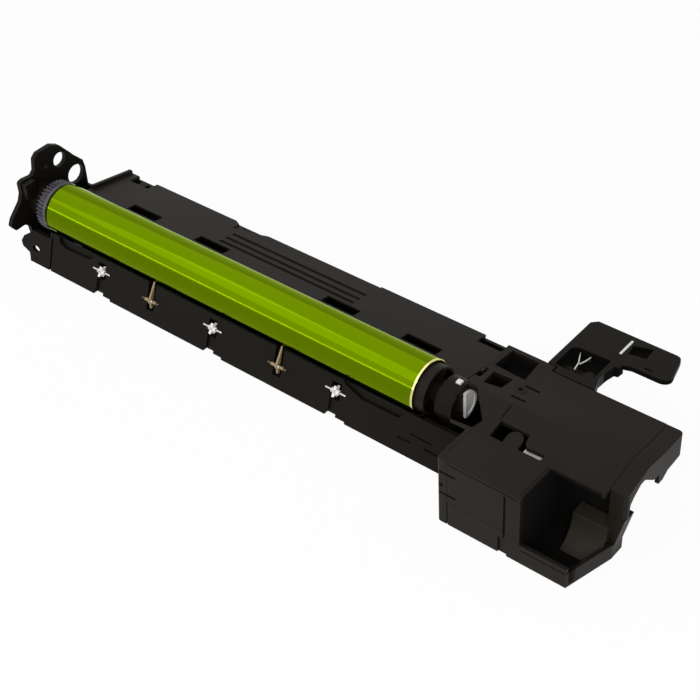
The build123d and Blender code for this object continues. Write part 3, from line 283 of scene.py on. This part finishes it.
# organic photoconductor on a turned aluminium tube: the metal shines through as a deep yellow-green mirror,
# with a dark band at the gear end that is painted shade, and a pale cut rim at the hub
drumCoating = {
    "dark": "#567000",
    "light": "#5b7500",
    "patch": 0.9,  # mm along the tube: the turning marks, drawn coarser than the real 0.1 mm
    "stretch": 0.02,  # the marks run round the tube
    "detail": 2.0,
    "roughness": (0.09, 0.12),
    "rim": (0.86, 0.95, 0.55, 1),
    "bands": (
        # painted shade: the dark band at the gear end
        {"edge": tubeLow.x + 1.7, "side": "LESS_THAN", "colour": "#12160c"},
        {"edge": tubeHigh.x - 1.2, "side": "GREATER_THAN", "colour": "#dcd48e"},
    ),
}


def photoconductor(name, look):
    material, tree, place = newMaterial(name)
    turned = addNode(tree, "ShaderNodeMapping", {
        "Scale": (1, look["stretch"], look["stretch"]),
    }, {"Vector": place})
    colour, rough = variedFinish(tree, turned.outputs["Vector"], look)
    along = addNode(tree, "ShaderNodeSeparateXYZ", links={"Vector": place}).outputs["X"]
    for band in look["bands"]:
        beyond = addNode(tree, "ShaderNodeMath", {
            "operation": band["side"], 1: band["edge"] * mm,
        }, {0: along})
        colour = addNode(tree, "ShaderNodeMix", {
            "data_type": "RGBA", colourSecond: linearColour(band["colour"]),
        }, {"Factor": beyond.outputs[0], colourFirst: colour}).outputs[colourOut]
    finishMaterial(tree, {
        "Base Color": colour, "Roughness": rough,
    }, {"Metallic": 1.0, "Specular Tint": look["rim"]})
    return material


drumMaterial = photoconductor("photoconductorCoating", drumCoating)


def finishedSteel(name, look):
    material, tree, place = newMaterial(name)
    colour, rough = variedFinish(tree, place, look)
    finishMaterial(tree, {"Base Color": colour, "Roughness": rough}, {"Metallic": 1.0})
    return material


# turned steel: small sharp glints along the pins and shafts
steel = finishedSteel("turnedSteel", {
    "dark": "#9a9996", "light": "#c6c4bf", "patch": 6.0, "roughness": (0.22, 0.36),
})
# oiled steel: a brown film that dulls the glint
darkSteel = finishedSteel("oiledSteelPin", {
    "dark": "#3b3328", "light": "#6a5d48", "patch": 6.0, "roughness": (0.35, 0.5),
})
# zinc-plated sheet: pale, with an even soft shine
sheetSteel = finishedSteel("platedSheetSteel", {
    "dark": "#a3a29c", "light": "#c9c7c0", "patch": 6.0, "roughness": (0.3, 0.45),
})
print("materials made")

finishes = {
    "black_plastic": blackPlastic,
    "drum_coating": drumMaterial,
    "grey_plastic": greyPlastic,
    "white_plastic": whitePlastic,
    "amber_plastic": amberPlastic,
    "steel": steel,
    "sheet_steel": sheetSteel,
    "dark_rubber": darkRubber,
    "blade_rubber": bladeRubber,
    "felt": felt,
}
slotOfNode = {entry["node"]: entry["material_slot"] for entry in frame["record"]["subparts"]}
for name, item in nodes.items():
    item.data.materials.clear()
    item.data.materials.append(finishes[slotOfNode[name]])
nodes["claw_pins"].data.materials[0] = darkSteel


def clearSelection():
    if bpy.context.object and bpy.context.object.mode != "OBJECT":
        bpy.ops.object.mode_set(mode="OBJECT")
    bpy.ops.object.select_all(action="DESELECT")


def startEdit(piece, mode="FACE", action="DESELECT"):
    clearSelection()
    piece.select_set(True)
    bpy.context.view_layer.objects.active = piece
    bpy.ops.object.mode_set(mode="EDIT")
    bpy.ops.mesh.select_mode(type=mode)
    bpy.ops.mesh.select_all(action=action)


def endEdit():
    bpy.ops.object.mode_set(mode="OBJECT")


def pickParts(piece, kind, test):  # in edit mode, selects the vertices, edges or polygons that pass a test
    endEdit()
    for every in ("vertices", "edges", "polygons"):
        parts = getattr(piece.data, every)
        parts.foreach_set("select", [every == kind and test(part) for part in parts])
    bpy.ops.object.mode_set(mode="EDIT")


facing = 0.9  # a face looks along an axis when its normal has more than this of it


def pickFaces(piece, test):  # the test gets a face's centre in mm and its normal
    pickParts(piece, "polygons", lambda face: bool(test(face.center / mm, face.normal)))


def pushFaces(*move):
    bpy.ops.mesh.extrude_region_move(TRANSFORM_OT_translate={"value": tuple(Vector(move) * mm)})


def insetFaces(width):
    bpy.ops.mesh.inset(thickness=width * mm)


def applyPlace():
    bpy.ops.object.transform_apply(location=True, rotation=True, scale=True)


def applyModifier(piece, kind, settings):
    modifier = piece.modifiers.new(kind.lower(), kind)
    for name, value in settings.items():
        setattr(modifier, name, value)
    bpy.ops.object.modifier_apply(modifier=modifier.name)


def addShaft(start, end, radius, sides, middle=(0.0, 0.0), ends="NGON"):  # a cylinder along x, in mm
    clearSelection()
    bpy.ops.mesh.primitive_cylinder_add(
        vertices=sides, radius=radius * mm, depth=(end - start) * mm, end_fill_type=ends,
        location=Vector(((start + end) / 2, *middle)) * mm, rotation=(0, math.pi / 2, 0),
    )
    applyPlace()
    return bpy.context.object


def addBlock(middle, size, turn=0.0):  # a block turned about x, in mm
    clearSelection()
    bpy.ops.mesh.primitive_cube_add(size=1, location=Vector(middle) * mm, rotation=(turn, 0, 0))
    bpy.context.object.scale = Vector(size) * mm
    applyPlace()
    return bpy.context.object


def joinPieces(pieces):
    clearSelection()
    for piece in pieces:
        piece.select_set(True)
    bpy.context.view_layer.objects.active = pieces[0]
    bpy.ops.object.join()
    return bpy.context.object


def movedCopy(piece, move):  # a copy with its own mesh, moved by mm
    copy = piece.copy()
    copy.data = piece.data.copy()
    bpy.context.scene.collection.objects.link(copy)
    startEdit(copy, "VERT", "SELECT")
    bpy.ops.transform.translate(value=Vector(move) * mm)
    endEdit()
    return copy


creaseAngle = math.radians(38)
bevelAngle = math.radians(40)
bevelSegments = 2


def settlePiece(piece, name, settings):
    clearSelection()
    piece.select_set(True)
    bpy.context.view_layer.objects.active = piece
    applyPlace()
    if "edge" in settings:
        applyModifier(piece, "BEVEL", {
            "width": settings["edge"] * mm, "segments": settings.get("segments", bevelSegments),
            "limit_method": "ANGLE", "angle_limit": bevelAngle,
        })
    bpy.ops.object.shade_smooth_by_angle(angle=creaseAngle)
    applyModifier(piece, "WEIGHTED_NORMAL", {"keep_sharp": True})
    piece.name = name
    piece.data.name = name
    piece.data.materials.clear()
    piece.data.materials.append(settings.get("finish", finishes[settings["slot"]]))
    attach(piece, settings["body"])
    if "replaces" in settings:
        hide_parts(*settings["replaces"])
    print("made", name)


# rounded copies of the moulded pieces: the same form, with the soft edges of a mould
mouldedEdges = {  # corners: radius of upright edges, and their x and y from the piece's highest corner
    # the frame, the drive end and the arm take the darker copy of the ABS: painted shade
    "main_frame": {"edge": 0.35, "finish": shadedPlastic},
    "drive_end_housing": {"edge": 0.35, "finish": shadedPlastic},
    "back_cover": {"edge": 0.3},
    "block_housing": {"edge": 0.4},
    "front_cover": {"edge": 0.6},
    "top_cover": {"edge": 0.6},
    "end_cover": {"edge": 0.6, "corners": {2.2: [(0, 0), (0, -48.6)]}},
    "handle_arm": {
        "edge": 0.5, "finish": shadedPlastic,
        "corners": {2.6: [(0, -17.6), (-4.3, -0.2)], 1.6: [(-3.9, -20.2)]},
    },
    "separation_claw_1": {"edge": 0.15},
    "separation_claw_2": {"edge": 0.15},
    "star_wheel_1": {"edge": 0.2},
    "star_wheel_2": {"edge": 0.2},
    "star_wheel_3": {"edge": 0.2},
    "toner_shutter": {"edge": 0.3},
    "drum_bush": {"edge": 0.4},
}
mergeSettings = {"gap": 0.004, "flatAngle": 0.5}
cornerSettings = {"reach": 0.4, "shortest": 1.0, "segments": 5}


def mergedCopy(name, settings):
    piece = bpy.data.objects.new(name + "_shell", nodes[name].data.copy())
    bpy.context.scene.collection.objects.link(piece)
    startEdit(piece, "VERT", "SELECT")
    bpy.ops.mesh.remove_doubles(threshold=settings["gap"] * mm)
    bpy.ops.mesh.dissolve_limited(angle_limit=math.radians(settings["flatAngle"]))
    endEdit()
    return piece


def roundCorners(piece, radius, corners, settings):  # the upright edges at these x and y
    def isCorner(edge):
        first, second = [piece.data.vertices[number].co / mm for number in edge.vertices]
        if abs(first.z - second.z) < settings["shortest"]:
            return False
        return any(
            math.hypot(first.x - x, first.y - y) < settings["reach"]
            and math.hypot(second.x - x, second.y - y) < settings["reach"]
            for x, y in corners
        )

    startEdit(piece, "EDGE")
    pickParts(piece, "edges", isCorner)
    bpy.ops.mesh.bevel(
        offset=radius * mm, offset_type="OFFSET", segments=settings["segments"], affect="EDGES",
    )
    endEdit()


def softenedCopy(name, settings):
    piece = mergedCopy(name, mergeSettings)
    high = nodeBox(name)[1]
    for radius, corners in settings.get("corners", {}).items():
        roundCorners(piece, radius, [(high.x + x, high.y + y) for x, y in corners], cornerSettings)
    settlePiece(piece, name + "_shell", {
        "slot": slotOfNode[name], "body": nodes[name]["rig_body"], "replaces": [name], **settings,
    })


for name, settings in mouldedEdges.items():
    softenedCopy(name, settings)

# coated tube: open ended, its rims broken by a fine chamfer
tubeSettings = {
    "radius": 15.0, "wall": 1.0, "sides": 160, "edge": 0.25,
    "slot": "drum_coating", "body": "drum", "replaces": ["drum_tube"],
}


def makeTube(settings):
    tube = addShaft(tubeLow.x, tubeHigh.x, settings["radius"], settings["sides"], ends="NOTHING")
    applyModifier(tube, "SOLIDIFY", {"thickness": settings["wall"] * mm, "offset": -1})
    settlePiece(tube, "coatedTube", settings)


makeTube(tubeSettings)

# flange at the hub end: a rim past the tube, three ribs across a deep pocket, the hub and its journal
hubSettings = {
    "plug": 9.0,  # mm inside the tube's end; the next three lie beyond it
    "rimEnd": 5.6,
    "hubEnd": 10.6,
    "journalEnd": 21.0,
    "rimRadius": 13.3,
    "rimWall": 1.6,
    "pocket": 10.0,
    "hubRadius": 6.6,
    "journalRadius": 4.9,
    "sides": 72,
    "ribs": 3,
    "ribWidth": 2.6,
    "ribTurn": 60.0,
    "ribOverlap": 0.5,
    "ribSink": 0.4,
    "shadeReach": 0.1,  # the painted shade goes this far past the pocket's wall
    "shadeSink": 0.2,  # and starts this far behind the rim's face
    "edge": 0.3,
    "slot": "black_plastic", "body": "drum", "replaces": ["end_flange"],
}


def makeHubFlange(settings):
    rimEnd = tubeHigh.x + settings["rimEnd"]
    pocketRadius = settings["rimRadius"] - settings["rimWall"]
    flange = addShaft(tubeHigh.x - settings["plug"], rimEnd, settings["rimRadius"], settings["sides"])
    startEdit(flange)
    pickFaces(flange, lambda centre, normal: normal.x > facing)
    insetFaces(settings["rimWall"])
    pushFaces(-settings["pocket"], 0, 0)
    insetFaces(pocketRadius - settings["hubRadius"])
    pushFaces(settings["hubEnd"] - settings["rimEnd"] + settings["pocket"], 0, 0)
    insetFaces(settings["hubRadius"] - settings["journalRadius"])
    pushFaces(settings["journalEnd"] - settings["hubEnd"], 0, 0)
    endEdit()
    span = pocketRadius - settings["hubRadius"] + 2 * settings["ribOverlap"]
    reach = settings["hubRadius"] - settings["ribOverlap"] + span / 2
    ribs = []
    for number in range(settings["ribs"]):
        turn = math.radians(settings["ribTurn"] + 360 * number / settings["ribs"])
        along = rimEnd - settings["pocket"] / 2 - settings["ribSink"]
        ribs.append(addBlock(
            (along, reach * math.cos(turn), reach * math.sin(turn)),
            (settings["pocket"], span, settings["ribWidth"]), turn,
        ))
    flange = joinPieces([flange, *ribs])
    settlePiece(flange, "hubFlange", settings)
    flange.data.materials.append(shadedPlastic)  # the pocket takes the darker copy of the ABS: painted shade there
    for face in flange.data.polygons:
        place = face.center / mm
        inside = math.hypot(place.y, place.z) < pocketRadius + settings["shadeReach"]
        face.material_index = 1 if inside and place.x < rimEnd - settings["shadeSink"] else 0


makeHubFlange(hubSettings)

# white half-moon: a disc with one side cut away and a shallow dish in its face
moonSettings = {
    "seat": 0.1, "thickness": 1.55, "radius": 7.9, "sides": 72, "chord": -1.2, "rim": 1.3, "dish": 0.5,
    "edge": 0.4, "segments": 3, "slot": "white_plastic", "body": "drum", "replaces": ["coupling_dog"],
}


def makeHalfMoon(settings):
    start = tubeHigh.x + hubSettings["journalEnd"] + settings["seat"]
    moon = addShaft(start, start + settings["thickness"], settings["radius"], settings["sides"])
    startEdit(moon, "VERT", "SELECT")
    bpy.ops.mesh.bisect(
        plane_co=(0, settings["chord"] * mm, 0), plane_no=(0, -1, 0), use_fill=True, clear_outer=True,
    )
    startEdit(moon)
    pickFaces(moon, lambda centre, normal: normal.x > facing)
    insetFaces(settings["rim"])
    pushFaces(-settings["dish"], 0, 0)
    endEdit()
    settlePiece(moon, "halfMoon", settings)


makeHalfMoon(moonSettings)

# fork of sprung steel wire in the arm's pocket: a long stroke, a branch and the feet that they stand on
forkSettings = {  # x and y from the arm's corner
    "strokes": (
        ((7.6, 28.2), (9.2, 24.6), (11.0, 20.9), (11.9, 15.8)),
        ((13.6, 27.9), (13.0, 24.2), (11.8, 20.4)),
    ),
    "feet": ((7.7, 28.0), (13.5, 27.6), (11.9, 16.1)),
    "depth": 2.2,
    "wire": 0.55,
    "footWire": 0.495,
    "sides": 12,
    "slot": "steel", "body": "housing", "replaces": ["contact_spring"],
}


def makeRod(points, radius, sides):  # a round rod, its end face extruded from point to point
    clearSelection()
    first = points[1] - points[0]
    bpy.ops.mesh.primitive_cylinder_add(
        vertices=sides, radius=radius * mm, depth=first.length * mm,
        location=(points[0] + points[1]) / 2 * mm, rotation=first.to_track_quat("Z", "Y").to_euler(),
    )
    rod = bpy.context.object
    applyPlace()
    for before, after in zip(points[1:], points[2:]):
        startEdit(rod)
        pickFaces(rod, lambda centre, normal: (centre - before).length < radius / 4)
        pushFaces(*(after - before))
        endEdit()
    return rod


def makeFork(settings):
    height = -settings["depth"]
    floor = nodeBox("contact_spring")[0].z - armCorner.z
    rods = [
        makeRod([armCorner + Vector((x, y, height)) for x, y in stroke], settings["wire"], settings["sides"])
        for stroke in settings["strokes"]
    ]
    for x, y in settings["feet"]:
        foot = [armCorner + Vector((x, y, z)) for z in (floor, height)]
        rods.append(makeRod(foot, settings["footWire"], settings["sides"]))
    settlePiece(joinPieces(rods), "armFork", settings)


makeFork(forkSettings)

# arm: a sunk floor under its window, and a white strip in its slit that stands in for a bright highlight
# there (painted highlight), by corners from the arm's own
armDetails = {
    # the sunk floor takes the darker copy of the ABS: painted shade under the window
    "windowFloor": {
        "low": (25.2, 37.6, -2.95), "high": (38.2, 49.8, -2.3), "rim": 0.8, "sink": 0.3,
        "edge": 0.1, "finish": shadedPlastic, "slot": "black_plastic", "body": "housing",
    },
    # painted highlight: a white strip where the slit shows a bright glint
    "slitStrip": {
        "low": (24.1, 36.6, -2.9), "high": (25.4, 48.1, 0.3), "rim": 0.3, "sink": -0.3,
        "edge": 0.08, "slot": "white_plastic", "body": "housing",
    },
}


def makeInsert(name, settings):
    low, high = Vector(settings["low"]), Vector(settings["high"])
    insert = addBlock(armCorner + (low + high) / 2, high - low)
    startEdit(insert)
    pickFaces(insert, lambda centre, normal: normal.z > facing)
    insetFaces(settings["rim"])
    pushFaces(0, 0, -settings["sink"])
    endEdit()
    settlePiece(insert, name, settings)


for name, settings in armDetails.items():
    makeInsert(name, settings)

# amber sleeve of each claw round its pin, made at the first claw and copied to the second
pinLow, pinHigh = nodeBox("claw_pins")
pinMiddle = ((pinLow.y + pinHigh.y) / 2, (pinLow.z + pinHigh.z) / 2)
clawBoxes = [nodeBox("separation_claw_1"), nodeBox("separation_claw_2")]
clawStep = Vector((clawBoxes[1][0].x - clawBoxes[0][0].x, 0, 0))
sleeveSettings = {
    "length": 8.2, "radius": 0.95, "sides": 24, "rim": 0.2, "edge": 0.15, "slot": "amber_plastic",
}


def makeSleeves(settings):
    low, high = clawBoxes[0]
    start = (low.x + high.x - settings["length"]) / 2
    sleeve = addShaft(start, start + settings["length"], settings["radius"], settings["sides"], pinMiddle)
    startEdit(sleeve)
    pickFaces(sleeve, lambda centre, normal: abs(normal.x) > facing)
    insetFaces(settings["rim"])
    endEdit()
    for number, piece in enumerate((sleeve, movedCopy(sleeve, clawStep)), 1):
        settlePiece(piece, "clawSleeve" + str(number), {**settings, "body": "claw_" + str(number)})


makeSleeves(sleeveSettings)

# wound springs: beside each claw, and under each bearing block of the charge roller
blockSpringLow, blockSpringHigh = nodeBox("charge_springs")
springSettings = {
    "clawSprings": {
        "start": (clawBoxes[0][1].x + 0.2, *pinMiddle), "step": clawStep, "axis": "X", "turns": 3,
        "pitch": 0.42, "radius": (0, 0, 1.2), "wire": 0.17, "slot": "steel",
        "body": "housing", "replaces": ["claw_springs"],
    },
    "chargeSprings": {
        "start": (blockSpringLow.x + 2.3, 0, blockSpringLow.z + 0.32),
        "step": (blockSpringHigh.x - blockSpringLow.x - 4.6, 0, 0), "axis": "Z", "turns": 3,
        "pitch": 0.75, "radius": (1.9, 0, 0), "wire": 0.3, "slot": slotOfNode["charge_springs"],
        "body": "housing", "replaces": ["charge_springs"],
    },
}
windSettings = {"wireSides": 10, "steps": 20}


def makeSprings(name, settings, wind):
    clearSelection()
    bpy.ops.mesh.primitive_circle_add(  # the wire's section, upright in the plane of x and z
        vertices=wind["wireSides"], radius=settings["wire"] * mm,
        location=Vector(settings["start"]) * mm, rotation=(math.pi / 2, 0, 0),
    )
    coil = bpy.context.object
    bpy.ops.object.transform_apply(location=False, rotation=True, scale=True)
    startEdit(coil, "VERT", "SELECT")
    bpy.ops.transform.translate(value=Vector(settings["radius"]) * mm)
    endEdit()
    applyModifier(coil, "SCREW", {
        "axis": settings["axis"], "screw_offset": settings["pitch"] * mm, "iterations": settings["turns"],
        "steps": wind["steps"], "render_steps": wind["steps"],
    })
    startEdit(coil, "EDGE")
    bpy.ops.mesh.select_non_manifold()
    bpy.ops.mesh.edge_face_add()
    bpy.ops.mesh.select_all(action="SELECT")
    bpy.ops.mesh.normals_make_consistent(inside=False)
    endEdit()
    settlePiece(joinPieces([coil, movedCopy(coil, settings["step"])]), name, settings)


for name, settings in springSettings.items():
    makeSprings(name, settings, windSettings)

# chute: smooth, and the whole of it set over to the right of its solid, towards the bay's side wall, in the
# lighter copy of the ABS: painted light on its lit face
chuteSettings = {
    "shift": 2.4, "edge": 1.1, "segments": 4, "finish": litPlastic,
    "slot": "black_plastic", "body": "housing", "replaces": ["waste_chute"],
}


def makeChute(settings):
    chute = mergedCopy("waste_chute", mergeSettings)
    startEdit(chute, "VERT", "SELECT")
    bpy.ops.transform.translate(value=(settings["shift"] * mm, 0, 0))
    endEdit()
    settlePiece(chute, "waste_chute_shell", settings)


makeChute(chuteSettings)

# floor, world and lamps
floorSettings = {"size": 9.0, "middle": 0.2, "gap": 0.1, "colour": "#fcfcfb", "whiteShare": 0.94}


def whiteBehind(tree, shader, share):  # white to the eye and in reflections, while the light stays as it is
    path = addNode(tree, "ShaderNodeLightPath")
    seen = path.outputs["Is Camera Ray"]
    for ray in ("Is Glossy Ray", "Is Transmission Ray"):
        seen = addNode(tree, "ShaderNodeMath", {
            "operation": "ADD", "use_clamp": True,
        }, {0: seen, 1: path.outputs[ray]}).outputs[0]
    part = addNode(tree, "ShaderNodeMath", {"operation": "MULTIPLY", 1: share}, {0: seen})
    white = addNode(tree, "ShaderNodeEmission", {"Strength": 1.0, "Color": (1, 1, 1, 1)})
    mixed = addNode(tree, "ShaderNodeMixShader", links={0: part.outputs[0], 1: shader, 2: white.outputs[0]})
    return mixed.outputs[0]


def makeFloor(settings):
    clearSelection()
    height = cadBox[0][2] - settings["gap"] * mm
    bpy.ops.mesh.primitive_plane_add(size=settings["size"], location=(settings["middle"], 0, height))
    floor = bpy.context.object
    floor.name = "studioFloor"
    material = bpy.data.materials.new("paleFloor")
    tree = clearedTree(material)
    matte = addNode(tree, "ShaderNodeBsdfDiffuse", {"Color": linearColour(settings["colour"])})
    addNode(tree, "ShaderNodeOutputMaterial", links={
        "Surface": whiteBehind(tree, matte.outputs[0], settings["whiteShare"]),
    })
    floor.data.materials.append(material)


makeFloor(floorSettings)

lampSettings = {  # metres; light is the brightness of the lamp's face
    "soft": {"place": (-0.65, -1.15, 0.98), "aim": (0.15, 0.0, 0.0), "size": (1.7, 1.7), "light": 0.62},
    "top": {"place": (-0.55, 0.25, 1.5), "aim": (0.15, 0.0, 0.0), "size": (1.7, 1.7), "light": 0.6},
    "key": {"place": (-0.55, -0.8, 1.15), "aim": (0.15, 0.0, 0.0), "size": (1.2, 0.7), "light": 0.6},
    "strip": {"place": (-0.75, -1.3, 0.37), "aim": (0.15, 0.0, 0.0), "size": (1.6, 0.05), "light": 5.0},
    "right": {"place": (1.07, -1.19, 0.94), "aim": (0.30, 0.0, 0.0), "size": (0.9, 0.9), "light": 6.5},
}
ambientLight = 0.33


def makeLamp(name, settings):
    data = bpy.data.lights.new(name + "Lamp", "AREA")
    data.shape = "RECTANGLE"
    data.size, data.size_y = settings["size"]
    data.energy = settings["light"] * math.pi * data.size * data.size_y
    lamp = bpy.data.objects.new(name + "Lamp", data)
    place = Vector(settings["place"])
    turn = (place - Vector(settings["aim"])).to_track_quat("Z", "Y").to_matrix().to_4x4()
    lamp.matrix_world = Matrix.Translation(place) @ turn
    bpy.context.scene.collection.objects.link(lamp)


for name, settings in lampSettings.items():
    makeLamp(name, settings)


def makeWorld(strength):
    world = bpy.data.worlds.new("studioWorld")
    bpy.context.scene.world = world
    tree = clearedTree(world)
    ambient = addNode(tree, "ShaderNodeBackground", {"Color": (1, 1, 1, 1), "Strength": strength})
    addNode(tree, "ShaderNodeOutputWorld", links={"Surface": whiteBehind(tree, ambient.outputs[0], 1.0)})


makeWorld(ambientLight)
bpy.context.scene.view_settings.view_transform = "Standard"
print("studio lit")
